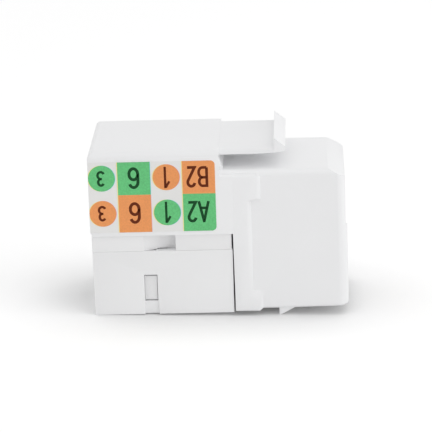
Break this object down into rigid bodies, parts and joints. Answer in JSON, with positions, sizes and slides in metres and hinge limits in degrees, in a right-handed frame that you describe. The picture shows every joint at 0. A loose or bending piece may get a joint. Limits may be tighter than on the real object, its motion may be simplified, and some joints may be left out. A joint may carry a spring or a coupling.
{
  "type": "keystone jack",
  "caption": "Snap-in modular data socket with a sprung top latch, a terminal block for wires under a clip-on cap, and a colour-coded wiring label.",
  "frame": {"origin": "centre of the plug opening, in the plane of the front face", "axes": "+X out of the plug opening, +Z towards the latch arm, -Z towards the wire terminals and cap, Y across"},
  "size_m": [0.029, 0.0154, 0.0205],
  "materials": {
    "housing_white": "fine satin moulding",
    "block_white": "fine satin moulding",
    "cap_white": "fine satin moulding",
    "insert_white": "natural plastic",
    "board_green": "solder resist",
    "gold_plate": "gold plated",
    "tin_plate": "tin plated bronze",
    "label_white": "vinyl",
    "print_green": "printed ink",
    "print_orange": "printed ink"
  },
  "bodies": {
    "jack": {"housing": "housing_white", "terminal_block": "block_white", "circuit_board": "board_green", "contact_insert": "insert_white", "spring_contact_1": "gold_plate", "spring_contact_2": "gold_plate", "spring_contact_3": "gold_plate", "spring_contact_4": "gold_plate", "spring_contact_5": "gold_plate", "spring_contact_6": "gold_plate", "spring_contact_7": "gold_plate", "spring_contact_8": "gold_plate", "idc_blade_near_1": "tin_plate", "idc_blade_near_2": "tin_plate", "idc_blade_near_3": "tin_plate", "idc_blade_near_4": "tin_plate", "idc_blade_far_1": "tin_plate", "idc_blade_far_2": "tin_plate", "idc_blade_far_3": "tin_plate", "idc_blade_far_4": "tin_plate", "label": "label_white", "label_print_green": "print_green", "label_print_orange": "print_orange"},
    "latch": {"latch_arm": "housing_white"},
    "cap": {"cover_cap": "cap_white"}
  },
  "joints": [
    {"name": "latch_press", "type": "hinge", "parent": "jack", "child": "latch", "pos_m": [-0.0142, 0, 0.00913], "axis": [0, 1, 0], "range_deg": [0, 12], "stiffness_Nm_per_rad": 0.1},
    {"name": "cap_pull", "type": "slide", "parent": "jack", "child": "cap", "axis": [0, 0, -1], "range_m": [0, 0.012]}
  ]
}
